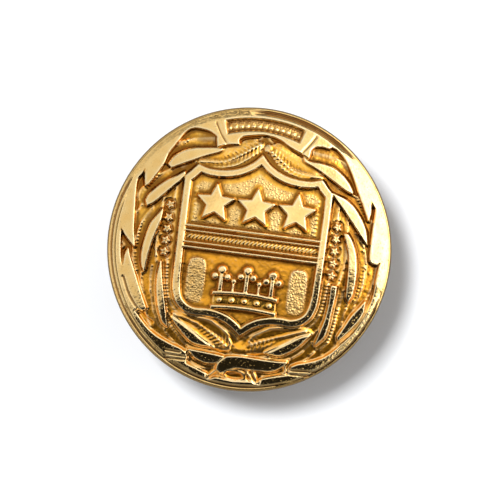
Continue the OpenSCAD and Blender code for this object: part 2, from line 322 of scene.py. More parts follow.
# Scooped leaves that the veins run in.
SCOOPS = [
    [(-4.75, -5.0), (-4.2, -4.98), (-3.2, -5.1), (-2.2, -5.2), (-1.4, -5.55),
     (-0.75, -6.1), (-0.45, -6.65), (-0.5, -7.15), (-1.2, -7.2), (-2.0, -6.9),
     (-3.2, -6.15), (-4.2, -5.5)],
    [(4.95, -5.05), (4.2, -5.0), (3.2, -5.1), (2.4, -5.2), (1.6, -5.55),
     (0.95, -6.1), (0.6, -6.65), (0.6, -7.1), (1.4, -7.15), (2.2, -6.9),
     (3.4, -6.15), (4.4, -5.5)],
    [(-4.45, 5.6), (-3.9, 6.1), (-3.2, 6.5), (-2.4, 6.85), (-1.7, 7.1),
     (-1.2, 7.5), (-0.5, 7.7), (0.1, 7.4), (-0.15, 6.9), (-0.9, 6.2),
     (-1.7, 5.7), (-2.6, 5.42), (-3.6, 5.4)],
    [(4.65, 5.6), (4.1, 6.05), (3.4, 6.4), (2.8, 6.75), (2.2, 7.05),
     (1.7, 7.45), (1.1, 7.6), (0.6, 7.35), (0.65, 6.8), (1.2, 6.15),
     (1.9, 5.7), (2.8, 5.42), (3.8, 5.42)],
]
LEAF_EDGES = [
    [(-4.7, -5.2), (-3.2, -6.1), (-1.6, -7.1)],
    [(2.0, -7.0), (3.5, -6.1), (5.1, -5.2)],
]
# Pockets: centre, half length, half width, turn in degrees, depth in mm.
PITS = [
    (-3.9, 7.35, 0.75, 0.42, 10, 0.16), (4.3, 7.2, 0.9, 0.35, -12, 0.14),
    (-5.3, 5.0, 0.7, 0.22, 30, 0.12), (-7.2, 1.4, 0.5, 0.24, 55, 0.12),
    (-6.6, -2.4, 0.5, 0.26, 85, 0.14), (6.65, -2.4, 0.5, 0.24, 92, 0.12),
    (5.5, 4.85, 0.7, 0.2, -33, 0.12), (7.35, 1.2, 0.5, 0.22, -60, 0.12),
    (-4.9, 3.6, 0.7, 0.35, 90, 0.05), (5.4, 3.6, 0.7, 0.3, 90, 0.05),
]
SHIELD_OUT = [
    (0, 6.6), (0.5, 6.05), (1.15, 5.6), (1.95, 5.3), (2.9, 5.17), (3.7, 5.22),
    (4.35, 5.42), (4.75, 4.95), (5.15, 4.55), (5.15, 2.5), (5.08, -2.4),
    (5.0, -3.4), (4.7, -4.2), (4.15, -4.72), (3.5, -4.93), (2.6, -4.9),
    (1.9, -4.95), (1.2, -5.15), (0.6, -5.5), (0, -6.0)]
SHIELD_IN = [
    (0, 6.0), (0.6, 5.5), (1.3, 5.1), (2.0, 4.88), (2.9, 4.77), (3.6, 4.82),
    (4.1, 4.95), (4.45, 4.55), (4.75, 4.25), (4.75, 2.5), (4.68, -2.4),
    (4.6, -3.2), (4.4, -3.9), (4.0, -4.32), (3.4, -4.53), (2.6, -4.5),
    (1.9, -4.55), (1.1, -4.78), (0.45, -5.15), (0, -5.55)]
SHIELD_U = 0.1


def whole(half):
    """The outline of which half is the right half, top to bottom."""
    return [(u + SHIELD_U, v) for u, v in half] + \
           [(SHIELD_U - u, v) for u, v in half[-2:0:-1]]


def star_points(x, y, r, inner=0.42):
    return [((r if i % 2 == 0 else r * inner) * math.sin(i * math.pi / 5) + x,
             (r if i % 2 == 0 else r * inner) * math.cos(i * math.pi / 5) + y)
            for i in range(10)]


def relief():
    """(height above the dome in mm, and the shares of satin top, stipple,
    painted shade in the hollows, painted highlight on the crests, polish and matt field)."""
    border = smooth(BORDER)
    tops = [smooth(p) for p in TOPS]
    in_border = inside(border)
    sh_out, sh_in = smooth(whole(SHIELD_OUT)), smooth(whole(SHIELD_IN))
    in_out, in_in = inside(sh_out), inside(sh_in)
    top = ~in_border | union(tops)
    d, _ = distance([border, *tops, sh_out])
    d = np.where(top | in_out, 0, d)
    # between the tops the ground lies in blades like tiles: each is deep on
    # its inner side and rises outwards, so that it faces the middle
    drift = grain(1.2)
    q = reach(top | in_out, -1) / (0.82 + 0.10 * drift - 0.22 * step(0.0, -4.0, VV))
    q = q - np.floor(q)
    blade = blur(q, 0.04)
    ground = blur(-DEEP + (H - WALL + DEEP - 0.02) * q, 0.05)
    h = H - WALL * step(-0.01, 0.14, d) - (H - WALL - ground) * step(0.02, 0.29, d)

    # the veined leaves: each a scoop with a raised edge
    leaf_shapes = [smooth(p) for p in SCOOPS]
    ld, _ = distance(leaf_shapes)
    in_leaf = union(leaf_shapes)
    q = np.clip(round_off(ld, 0.05) / 0.66, 0, 1)
    dip = 1 - (1 - q) ** 2
    leaf_h = 0.13 + (np.clip(0.42 * (RR - 6.2), -0.24, 0.36) - 0.28) * dip
    h = np.where(in_leaf, np.maximum(leaf_h, np.minimum(h, H - 2.2 * d)), np.maximum(h, 0.13 - 1.3 * ld))

    # folds that follow the outlines, uneven in depth and spacing
    swell = grain(0.8)
    folds = np.cos(2 * math.pi * d / 0.27 + 1.3 * drift) * step(0.10, 0.22, d)
    folds *= 1 + 0.55 * step(0.5, -4.0, VV - 0.35 * UU)
    h += (0.026 + 0.014 * np.clip(swell, -1.4, 1.8)) * folds * np.where(in_leaf, 0.25, 1.0) * ~in_out
    h += 0.05 * np.clip(swell, -1.5, 1.5) * step(0.1, 0.5, d) * ~in_out

    # ribs and veins in the scoops
    rd, rs = distance([smooth(p, closed=False) for p in RIBS], closed=False)
    free = step(0.03, 0.16, d)
    h += free * 0.13 * np.exp(-(rd / 0.11) ** 2) * (0.55 + 0.45 * np.cos(rs * 2 * math.pi / 0.24))
    # deep pockets between the leaves
    pocket_shade = np.zeros_like(h)
    for x, y, a, b, turn_by, deep in PITS:
        c, q = math.cos(math.radians(turn_by)), math.sin(math.radians(turn_by))
        e = (((UU - x) * c + (VV - y) * q) / a) ** 2 + ((-(UU - x) * q + (VV - y) * c) / b) ** 2
        h -= step(0.0, 0.2, d) * 1.2 * deep * np.exp(-e ** 2)
        # this mask is for painted shade: the colour of the pockets is darkened further down
        pocket_shade = np.maximum(pocket_shade, step(0.02, 0.12, d) * min(1, deep / 0.12) * np.exp(-e ** 2))
    vd, vs = distance([smooth(p, closed=False) for p in VEINS], closed=False)
    h += free * 0.15 * np.exp(-(vd / 0.12) ** 2)
    inner = np.exp(-(UU / 2.6) ** 4)
    h += free * inner * 0.05 * np.exp(-(vd / 0.42) ** 4) * np.cos((vs + 0.6 * vd) * 2 * math.pi / 0.3)
    ed, _ = distance([smooth(p, closed=False) for p in LEAF_EDGES], closed=False)
    h += free * 0.2 * np.exp(-(ed / 0.11) ** 2)
    # berry between the upper leaves
    q = np.hypot(UU - 0.45, VV - 7.15)
    h = np.maximum(h, -0.02 + 0.3 * np.sqrt(np.clip(1 - (q / 0.36) ** 2, 0, 1)))

    # beads beside the shield
    for side, rows in ((-5.85, (2.4, 1.5, 0.7, -0.1, -0.9)),
                       (5.9, (2.3, 1.45, 0.6, -0.25, -1.1))):
        for v in rows:
            q = np.hypot(UU - side, VV - v)
            a = np.arctan2(VV - v, UU - side)
            rim = 0.33 * (1 + 0.16 * np.cos(5 * a + v))
            b = -0.08 + 0.36 * np.clip(1 - (q / rim) ** 2, 0, 1) ** 0.6 \
                * (0.8 + 0.2 * np.cos(5 * a + v)) - 0.09 * np.exp(-(q / 0.07) ** 2)
            h = h + (-0.14 - h) * step(0.55, 0.38, q) * step(0.0, 0.15, d)
            h = np.where(q < rim, np.maximum(h, b), h)

    # ribbon's tails and knot
    qd, _ = distance([smooth(p, closed=False) for p in RIBBON] + [np.vstack([LOOP, LOOP[:1]])],
                     closed=False)
    h += free * 0.24 * np.exp(-(qd / 0.12) ** 2)

    # cartouche at the top: a sunk panel in the border
    a = np.degrees(np.arctan2(UU, VV))
    lo, hi = 8.22 - 0.0035 * np.abs(a), 9.24 - 0.0 * a
    e = np.minimum(np.minimum(RR - lo, hi - RR), (18.3 - np.abs(a)) * 0.155)
    sunk = step(-0.02, 0.24, e)
    h = np.where(~in_border, h - 0.38 * sunk, h)
    edge = 2.6 * np.exp(-((RR - 8.62) / 0.10) ** 2) * step(0.15, 0.3, e)
    stip = pebbles(0.15, 0.5)
    h = np.where(~in_border, h + edge * 0.06 * (0.5 + 0.5 * np.cos(a * 2.3)), h)
    panel = (~in_border) * step(0.1, 0.3, e) * (1 - 0.8 * np.exp(-((RR - 8.62) / 0.14) ** 2))

    # creases at the cartouche's ends, the long groove at the lower left and
    # the stems beside the ribbon
    cuts = [[(-3.4, 8.5), (-2.95, 7.7), (-2.5, 7.1)], [(3.65, 8.4), (3.2, 7.7), (2.75, 7.1)],
            [(-8.5, -3.0), (-8.0, -4.1), (-7.4, -4.9), (-6.7, -5.5), (-6.1, -5.9)],
            [(3.9, -8.05), (5.6, -7.95)], [(3.9, -8.3), (5.2, -8.3)],
            [(-4.9, -8.0), (-3.5, -8.0)], [(-4.9, -8.25), (-3.5, -8.22)],
            [(-3.9, -7.75), (-4.9, -7.7)]]
    cd, _ = distance([smooth(p, closed=False) for p in cuts], closed=False)
    h -= 0.14 * np.exp(-(cd / 0.075) ** 2)

    # shield: a flat frame with an inner bevel, and its field
    di, _ = distance([sh_in])
    # its lower part is deepest under the band and rises to the point
    field = np.where(VV < -0.45, -0.26 + 0.09 * np.clip(-0.45 - VV, 0, 5)
                     + 0.035 * np.clip(swell, -1.5, 1.5) + 0.02 * np.clip(grain(0.25), -2, 2), -0.02)
    body = scoop(di, 0.75, field)
    chief = in_in & (VV > 1.45)
    base = in_in & (VV < -0.45)
    # bead line down each side of the chief
    for x in (-4.15, 4.35):
        q = np.abs(UU - x)
        body += (chief & (VV < 4.1)) * 0.08 * np.exp(-(q / 0.11) ** 2) * (0.6 + 0.4 * np.cos(VV * 2 * math.pi / 0.3))
    # band of two rails with a row of beads
    for lo_v, hi_v in ((-0.45, -0.22), (-0.08, 0.10), (0.72, 0.90), (1.04, 1.27)):
        e = np.minimum(VV - lo_v, hi_v - VV)
        body = np.where(in_in, np.maximum(body, -0.02 + (H - 0.01) * step(-0.07, 0.07, e)), body)
    q = np.abs(VV - 0.41) / 0.24
    rope = np.sqrt(np.clip(1 - q * q, 0, 1)) * (0.72 + 0.28 * np.cos((UU - 0.8 * VV) * 2 * math.pi / 0.27))
    body = np.where(in_in & (q < 1), np.maximum(body, 0.22 * rope), body)
    # three stars
    stars = [star_points(x + SHIELD_U, 2.9, 1.32, 0.46) for x in (-2.85, 0, 2.85)]
    sd, _ = distance(stars)
    s_in = union(stars)
    body = np.where(chief, np.maximum(body, scoop(np.where(s_in, 0, sd), 0.5, field)), body)
    flat_bed = step(0.45, 0.6, di) * step(0.30, 0.42, sd)
    # open coronet: a rimmed circlet, three trefoils and two pearls
    x0 = SHIELD_U
    crown = np.zeros_like(h)

    def bar(u_lo, u_hi, v_lo, v_hi, z, soft=0.06, sag=0.0):
        w = VV + sag * (UU - x0) ** 2
        e = np.minimum(np.minimum(UU - x0 - u_lo, u_hi - UU + x0), np.minimum(w - v_lo, v_hi - w))
        return z * step(-soft, soft, e)

    def knob(x, y, r, z, flat=0.55):
        q = np.hypot(UU - x0 - x, VV - y) / r
        return z * np.clip((1 - q) / (1 - flat), 0, 1) ** 0.55

    for v_lo, v_hi, wide, z in ((-4.28, -3.98, 2.3, 0.33), (-3.28, -2.98, 2.3, 0.33), (-3.98, -3.28, 2.2, 0.12)):
        crown = np.maximum(crown, bar(-wide, wide, v_lo, v_hi, z, sag=0.03))
    for x in (-1.75, -0.875, 0, 0.875, 1.75):
        crown = np.maximum(crown, knob(x, -3.63 - 0.03 * x * x, 0.24, 0.28, 0.3))
    for x in (-1.78, 0, 1.78):
        y = -1.72 - 0.07 * x * x / 1.78
        crown = np.maximum(crown, bar(x - 0.17, x + 0.17, -3.1, y, 0.31))
        crown = np.maximum(crown, knob(x, y + 0.22, 0.40, 0.33))
        for a2 in (-0.43, 0.43):
            crown = np.maximum(crown, knob(x + a2, y - 0.24, 0.31, 0.32))
    for x in (-0.89, 0.89):
        crown = np.maximum(crown, bar(x - 0.1, x + 0.1, -3.1, -2.5, 0.26))
        crown = np.maximum(crown, knob(x, -2.32, 0.27, 0.31, 0.3))
    body = np.where(base, np.maximum(body, field + crown * (1.3 - (field + 0.02) / 0.33)), body)
    # stippled pads beside the coronet
    side_pads = np.zeros_like(h)
    for s in (-1, 1):
        q1, q2 = np.abs(UU - x0 - s * 3.55) / 0.66, np.abs(VV + 2.55) / 1.6
        e = 1 - (q1 ** 4 + q2 ** 4) ** 0.25
        pad = step(-0.02, 0.06, e)
        body = np.where(base, np.maximum(body, field + (0.07 + 0.035 * (VV + 2.55) - field) * pad), body)
        side_pads = np.maximum(side_pads, pad)
    h = np.where(in_in, body, np.where(in_out, H, h))

    # fine hatch of the lower right rim and left rim
    ang = np.degrees(np.arctan2(VV, UU))
    hatch = np.cos(2 * math.pi * (np.radians(ang) * 9.4 + 0.5 * RR) / 0.21)
    zone = step(-62, -50, ang) * step(-12, -26, ang) * step(8.3, 8.8, RR) * step(9.76, 9.66, RR)
    zone2 = step(150, 160, np.abs(ang)) * step(9.0, 9.2, RR) * step(9.65, 9.5, RR)
    h += (~in_border) * (0.008 * zone * grain(0.06) + 0.006 * hatch * zone2)

    # the border falls away towards the rolled edge
    h *= 1 - 0.18 * step(9.3, 9.78, RR - 0.2 * step(-0.6, -0.95, VV / np.maximum(RR, 0.1)))
    for r0, wide, a0, a1, deep in ((9.68, 0.05, -205, -62, 0.16), (9.52, 0.055, -8, 40, 0.22),
                                   (9.70, 0.06, -8, 44, 0.30), (9.45, 0.04, -165, -70, 0.11),
                                   (9.57, 0.035, -195, -120, 0.10),
                                   (9.75, 0.04, 100, 158, 0.16)):
        aa = (a - a0) % 360
        fit = step(0, 10, aa) * step(a1 - a0, a1 - a0 - 10, aa) * (aa < a1 - a0)
        h -= deep * fit * np.exp(-((RR - r0) / (wide * 1.6)) ** 2)

    # the polished spot under the shield's point leans to the top
    wide = 0.10 + 0.34 * np.clip(-6.15 - VV, 0, 1.1)
    spot = np.exp(-(((UU - 0.3) ** 2 / wide + (VV + 6.7) ** 2 / 0.45) ** 2)) * ~(top | in_out)
    spot = blur(spot, 0.05) * step(0.0, 0.12, d)
    h = h + (np.clip(0.02 + 0.46 * (-6.75 - VV) + 0.05 * grain(0.2), -0.25, 0.3) - h) * spot
    # the satin tops are not quite even
    h += 0.022 * grain(0.55) * step(8.9, 7.0, RR) + 0.010 * grain(0.3)
    # never deeper than the sheet
    h = blur(np.where(h < -0.36, -0.36 - 0.08 * np.tanh((-0.36 - h) / 0.08), h), 0.034)
    satin = blur((top | (in_out & ~in_in) | (in_in & (body > H - 0.06))).astype(float), 0.03)
    satin *= 1 - np.clip(panel, 0, 1)
    rough_bed = np.clip((chief & ~s_in) * flat_bed + base * side_pads + panel
                        + 0.4 * zone * ~in_border, 0, 1)
    h += 0.0022 * grain(0.035) + 0.0016 * grain(0.07)
    # the ground is hammered, not smooth
    h += (0.006 * grain(0.13) + 0.004 * grain(0.07)) * (1 - satin) * np.where(RR > 9.2, 0, 1)
    h += (0.016 + 0.005 * base) * blur(rough_bed, 0.05) * blur(stip, 0.016) + 0.003 * rough_bed * grain(0.05)
    # painted shade: the colour is darkened where the surface lies below its surroundings, in the hollows where shade
    # falls
    painted_shade = np.clip((blur(h, 0.16) - h - 0.007) / 0.042, 0, 1)
    # painted shade in the deep pockets as well
    painted_shade = np.maximum(painted_shade, 0.85 * pocket_shade * np.where(in_out, 0, 1))
    # painted highlight: the colour is lightened where the surface stands above its surroundings, on edges and crests
    crest = np.clip((h - blur(h, 0.10)) / 0.045, 0, 1)
    open_ground = ~(top | in_out) * np.where(in_leaf, 0.5, 1.0)
    south = step(-1.0, -4.0, VV) * ~(top | in_out)
    # painted shade on the deep inner side of each blade, weaker towards the bottom where the light reaches the
    # ground
    painted_shade = np.maximum(painted_shade, (0.85 - 0.35 * south) * open_ground * step(0.42, 0.04, blade))
    painted_shade *= 1 - 0.55 * south
    painted_shade *= 1 - np.clip(1.2 * spot, 0, 1)
    # painted highlight: the walls round the tops in the lower part are lightened instead of shaded
    wall = step(0.24, 0.10, d) * south
    painted_shade *= 1 - wall
    # painted highlight on the raised outer side of each blade, stronger towards the bottom
    crest = np.maximum(crest, (0.45 + 0.25 * south) * open_ground * step(0.55, 0.95, blade))
    crest = np.maximum(crest * (1 - 0.8 * spot), wall)
    matt = np.where(in_in, 0.7 * base * step(0.08, 0.4, di) * (crown < 0.05),
                    ~(top | in_out) * step(0.08, 0.22, d) * step(1.0, -1.2, VV) * 0.3)
    matt = blur(matt, 0.06)
    polish = np.where(in_in, step(0.25, 0.12, np.minimum(di, sd)), step(0.25, 0.12, d))
    return h, satin, blur(rough_bed, 0.05), blur(painted_shade, 0.03), blur(crest, 0.02), \
        blur(polish, 0.04), matt


def sample(a, u, v):
    x = np.clip((u + SPAN) / STEP, 0, CELLS - 1.001)
    y = np.clip((v + SPAN) / STEP, 0, CELLS - 1.001)
    i, j = x.astype(int), y.astype(int)
    p, q = x - i, y - j
    return (a[j, i] * (1 - p) * (1 - q) + a[j, i + 1] * p * (1 - q)
            + a[j + 1, i] * (1 - p) * q + a[j + 1, i + 1] * p * q)


# -------------------------------------------------------------- node helpers
def material(name):
    m = bpy.data.materials.new(name)
    m.use_nodes = True
    t = m.node_tree
    return m, t, t.nodes["Principled BSDF"]


def noise(t, scale, detail=2.0, rough=0.5, coords="Object"):
    n = t.nodes.new("ShaderNodeTexNoise")
    n.inputs["Scale"].default_value = scale
    n.inputs["Detail"].default_value = detail
    n.inputs["Roughness"].default_value = rough
    c = t.nodes.new("ShaderNodeTexCoord")
    t.links.new(c.outputs[coords], n.inputs["Vector"])
    return n


def ramp(t, src, stops):
    r = t.nodes.new("ShaderNodeValToRGB")
    e = r.color_ramp.elements
    while len(e) < len(stops):
        e.new(0.5)
    for el, (pos, col) in zip(e, stops):
        el.position = pos
        el.color = (*col, 1) if isinstance(col, tuple) else (col, col, col, 1)
    t.links.new(src, r.inputs["Fac"])
    return r.outputs["Color"]


def value_range(t, src, a, b, c, d):
    m = t.nodes.new("ShaderNodeMapRange")
    for k, v in zip(("From Min", "From Max", "To Min", "To Max"), (a, b, c, d)):
        m.inputs[k].default_value = v
    t.links.new(src, m.inputs["Value"])
    return m.outputs["Result"]


def bump(t, src, strength, dist, bsdf):
    b = t.nodes.new("ShaderNodeBump")
    b.inputs["Strength"].default_value = strength
    b.inputs["Distance"].default_value = dist
    t.links.new(src, b.inputs["Height"])
    t.links.new(b.outputs["Normal"], bsdf.inputs["Normal"])
    return b


def math_node(t, op, a, b):
    m = t.nodes.new("ShaderNodeMath")
    m.operation = op
    for s, x in zip(m.inputs, (a, b)):
        if isinstance(x, (int, float)):
            s.default_value = x
        else:
            t.links.new(x, s)
    return m.outputs[0]


def attribute(t, name):
    a = t.nodes.new("ShaderNodeAttribute")
    a.attribute_name = name
    return a.outputs["Fac"]


def mix_colour(t, fac, a, b, kind="MIX"):
    m = t.nodes.new("ShaderNodeMix")
    m.data_type = "RGBA"
    m.blend_type = kind
    if isinstance(fac, float):
        m.inputs[0].default_value = fac
    else:
        t.links.new(fac, m.inputs[0])
    for s, x in ((m.inputs[6], a), (m.inputs[7], b)):
        if isinstance(x, tuple):
            s.default_value = (*x, 1)
        else:
            t.links.new(x, s)
    return m.outputs[2]


def gilt_material():
    m, t, b = material("gilt_struck")
    b.inputs["Metallic"].default_value = 1.0
    top, bed = attribute(t, "satin"), attribute(t, "bed")
    top = math_node(t, "MAXIMUM", top, math_node(t, "MULTIPLY", bed, 0.9))
    tone = noise(t, 900, 3)
    low = ramp(t, tone.outputs["Fac"], [(0.35, (1.0, 0.47, 0.045)), (0.65, (1.0, 0.545, 0.08))])
    high = ramp(t, tone.outputs["Fac"], [(0.35, (0.95, 0.60, 0.20)), (0.65, (0.98, 0.67, 0.26))])
    low = mix_colour(t, value_range(t, attribute(t, "matt"), 0, 0.3, 0, 1), low, (1.0, 0.44, 0.035))
    col = mix_colour(t, top, low, high)
    # painted shade: the hollows are darkened towards dark brown
    col = mix_colour(t, value_range(t, attribute(t, "painted_shade"), 0, 1, 0, 0.86), col, (0.17, 0.055, 0.008))
    # painted highlight: the crests and edges are lightened towards cream
    col = mix_colour(t, value_range(t, attribute(t, "crest"), 0, 1, 0, 0.85), col, (1.0, 0.79, 0.44))
    t.links.new(col, b.inputs["Base Color"])
    fine = noise(t, 5200, 2)
    r = value_range(t, math_node(t, "MAXIMUM", top, attribute(t, "polish")), 0, 1, 0.24, 0.14)
    r = math_node(t, "ADD", r, math_node(t, "MULTIPLY", bed, 0.12))
    r = math_node(t, "ADD", r, math_node(t, "MULTIPLY", attribute(t, "matt"), 0.22))
    r = math_node(t, "ADD", r, value_range(t, fine.outputs["Fac"], 0.3, 0.7, -0.03, 0.05))
    t.links.new(r, b.inputs["Roughness"])
    # grains stand singly on the satin tops, and close together on the stipple
    grit = noise(t, 6200, 2, 0.5)
    sparse = value_range(t, grit.outputs["Fac"], 0.63, 0.76, 0, 1)
    dots = t.nodes.new("ShaderNodeTexVoronoi")
    dots.inputs["Scale"].default_value = 4600
    t.links.new(grit.inputs["Vector"].links[0].from_socket, dots.inputs["Vector"])
    dot = value_range(t, dots.outputs["Distance"], 0.15, 0.65, 1, 0)
    height = math_node(t, "MULTIPLY", sparse, value_range(t, top, 0, 1, 0.4, 0.5))
    height = math_node(t, "ADD", height, math_node(t, "MULTIPLY", dot, math_node(t, "MULTIPLY", bed, 1.6)))
    bump(t, height, 0.8, 0.00004, b)
    return m


def metal(name, dark, light, rough, brush=None, grit=3000, depth=0.00001):
    m, t, b = material(name)
    b.inputs["Metallic"].default_value = 1.0
    n = noise(t, 500, 4)
    t.links.new(ramp(t, n.outputs["Fac"], [(0.3, dark), (0.7, light)]), b.inputs["Base Color"])
    f = noise(t, grit, 3)
    if brush:
        p = t.nodes.new("ShaderNodeMapping")
        p.inputs["Scale"].default_value = brush
        t.links.new(f.inputs["Vector"].links[0].from_socket, p.inputs["Vector"])
        t.links.new(p.outputs["Vector"], f.inputs["Vector"])
    t.links.new(value_range(t, f.outputs["Fac"], 0.3, 0.7, rough - 0.06, rough + 0.08), b.inputs["Roughness"])
    bump(t, f.outputs["Fac"], 0.35, depth, b)
    return m


def board_material():
    m, t, b = material("pressed_board")
    n = noise(t, 700, 6, 0.65)
    t.links.new(ramp(t, n.outputs["Fac"], [(0.3, (0.20, 0.145, 0.09)), (0.7, (0.36, 0.28, 0.19))]), b.inputs["Base Color"])
    f = noise(t, 4000, 3)
    t.links.new(value_range(t, f.outputs["Fac"], 0.3, 0.7, 0.8, 0.95), b.inputs["Roughness"])
    bump(t, f.outputs["Fac"], 0.6, 0.00004, b)
    return m


# ------------------------------------------------------------------- meshes
def new_object(name, verts, faces, uv=None):
    me = bpy.data.meshes.new(name)
    v = np.asarray(verts, np.float32)
    me.vertices.add(len(v))
    me.vertices.foreach_set("co", v.ravel())
    sizes = np.array([len(f) for f in faces], np.int32) if not isinstance(faces, np.ndarray) \
        else np.full(len(faces), faces.shape[1], np.int32)
    loops = np.concatenate([np.asarray(f, np.int32) for f in faces]) \
        if not isinstance(faces, np.ndarray) else faces.astype(np.int32).ravel()
    me.loops.add(len(loops))
    me.loops.foreach_set("vertex_index", loops)
    me.polygons.add(len(sizes))
    starts = np.concatenate([[0], np.cumsum(sizes)[:-1]]).astype(np.int32)
    me.polygons.foreach_set("loop_start", starts)
    me.polygons.foreach_set("loop_total", sizes)
    me.update(calc_edges=True)
    if uv is not None:
        layer = me.uv_layers.new(name="OFBake")
        layer.data.foreach_set("uv", np.asarray(uv, np.float32)[loops].ravel())
    me.shade_smooth()
    me.validate()
    o = bpy.data.objects.new(name, me)
    bpy.context.scene.collection.objects.link(o)
    return o


def face_mesh():
    """The struck shell: a square net folded to a disc, the rolled edge and
    the hidden inside."""
    n = 481
    h, *shares = relief()
    a = np.linspace(-1, 1, n)
    A, B = np.meshgrid(a, a)
    with np.errstate(divide="ignore", invalid="ignore"):
        wide = np.abs(A) > np.abs(B)
        rad = np.where(wide, A, B)
        ang = np.where(wide, np.pi / 4 * B / A, np.pi / 2 - np.pi / 4 * A / np.where(B == 0, 1, B))
    ang = np.where((A == 0) & (B == 0), 0, ang)
    ang = np.nan_to_num(ang)
    x, y = EDGE * rad * np.cos(ang), EDGE * rad * np.sin(ang)
    u, v = x / K, y / K
    hh = sample(h, u, v)
    net = [sample(a, u, v).reshape(-1) for a in shares]
    z0 = np.sqrt(DOME_R ** 2 - x ** 2 - y ** 2)
    # the net is laid out in plan, so the height is measured straight up
    nz = z0 / DOME_R
    z = ZC + z0 + hh / nz
    verts = [np.stack([x, y, z], -1).reshape(-1, 3)]
    idx = np.arange(n * n).reshape(n, n)
    quads = [np.stack([idx[:-1, :-1], idx[:-1, 1:], idx[1:, 1:], idx[1:, :-1]], -1).reshape(-1, 4)]
    # outline of the net, anticlockwise
    loop = np.concatenate([idx[0, :-1], idx[:-1, -1], idx[-1, :0:-1], idx[:0:-1, 0]])
    lx, ly = x.reshape(-1)[loop], y.reshape(-1)[loop]
    la = np.arctan2(ly, lx)
    lip = [(13.75, 1.335), (13.79, 1.325), (13.83, 1.28), (13.87, 1.20), (13.91, 1.08),
           (13.945, 0.93), (13.97, 0.76), (13.985, 0.60), (13.99, 0.46), (13.98, 0.34),
           (13.94, 0.20), (13.86, 0.09), (13.75, 0.02), (13.6, 0.0), (13.2, 0.0),
           (12.75, 0.0), (12.48, 0.0), (12.41, 0.03), (12.40, 0.10), (12.40, 0.36),
           (12.43, 0.40), (12.86, 0.41), (12.90, 0.46), (12.92, 0.86)]
    under = [(r, ZC + math.sqrt(28.0 ** 2 - r * r)) for r in (12.8, 11, 9, 7, 5, 3, 1)]
    base = n * n
    s = EDGE
    last = (EDGE, 1.0)
    uv = [np.stack([x, y], -1).reshape(-1, 2)]
    total = EDGE + sum(math.dist(p, q) for p, q in zip([last] + lip[:-1], lip))
    prev = loop
    for r, zz in lip:
        s += math.dist(last, (r, zz))
        last = (r, zz)
        ring = base + np.arange(len(loop))
        verts.append(np.stack([r * np.cos(la), r * np.sin(la), np.full(len(la), zz)], -1))
        uv.append(np.stack([s * np.cos(la), s * np.sin(la)], -1))
        quads.append(np.stack([prev, ring, np.roll(ring, -1), np.roll(prev, -1)], -1))
        prev = ring
        base += len(loop)
    uvs = np.vstack(uv) / total * 0.499 + 0.5
    uv = [uvs]
    # the inside takes a small patch of its own in a corner of the layout
    shell_quads = sum(len(q) for q in quads)
    for r, zz in under:
        ring = base + np.arange(len(loop))
        verts.append(np.stack([r * np.cos(la), r * np.sin(la), np.full(len(la), zz)], -1))
        uv.append(0.06 + 0.057 * r / 13 * np.stack([np.cos(la), np.sin(la)], -1))
        quads.append(np.stack([prev, ring, np.roll(ring, -1), np.roll(prev, -1)], -1))
        prev = ring
        base += len(loop)
    verts.append(np.array([[0, 0, ZC + 28.0]]))
    uv.append(np.array([[0.06, 0.06]]))
    quads = np.vstack(quads)
    tris = np.stack([prev, np.full(len(loop), base), np.roll(prev, -1)], -1)
    faces = list(quads) + list(tris)
    uvs = np.vstack(uv)
    o = new_object("face_relief", np.vstack(verts) * MM, faces, uvs)
    # on the first band inside, the shared ring is laid out in the patch as well
    first = np.arange(shell_quads * 4, (shell_quads + len(loop)) * 4)
    flat = o.data.uv_layers["OFBake"]
    all_uv = np.empty(2 * len(o.data.loops), np.float32)
    flat.data.foreach_get("uv", all_uv)
    all_uv = all_uv.reshape(-1, 2)
    ids = np.empty(len(o.data.loops), np.int32)
    o.data.loops.foreach_get("vertex_index", ids)
    outer = first[ids[first] < base - len(under) * len(loop)]
    xy = np.vstack(verts)[ids[outer]][:, :2]
    all_uv[outer] = 0.06 + 0.058 * xy / np.linalg.norm(xy, axis=1)[:, None]
    flat.data.foreach_set("uv", all_uv.ravel())
    for name, data, rest in zip(("satin", "bed", "painted_shade", "crest", "polish", "matt"), net, (1.0, 0, 0, 0, 1.0, 0)):
        full = np.full(len(o.data.vertices), rest, np.float32)
        full[:len(data)] = data
        a = o.data.attributes.new(name, "FLOAT", "POINT")
        a.data.foreach_set("value", full)
    return o


def turned(name, rings, count=96):
    """A closed solid from rings of (radius or array of radii, height), with the
    first and last ring closed by a flat face."""
    a = np.arange(count) * 2 * np.pi / count
    verts = [np.stack([r * np.cos(a), r * np.sin(a), np.broadcast_to(z, a.shape)], -1) for r, z in rings]
    faces = []
    for i in range(len(rings) - 1):
        p = i * count + np.arange(count)
        q = p + count
        faces += list(np.stack([p, q, np.roll(q, -1), np.roll(p, -1)], -1))
    faces.append(np.arange(count)[::-1][::-1])
    faces.append(((len(rings) - 1) * count + np.arange(count))[::-1])
    return new_object(name, np.vstack(verts) * MM, faces)


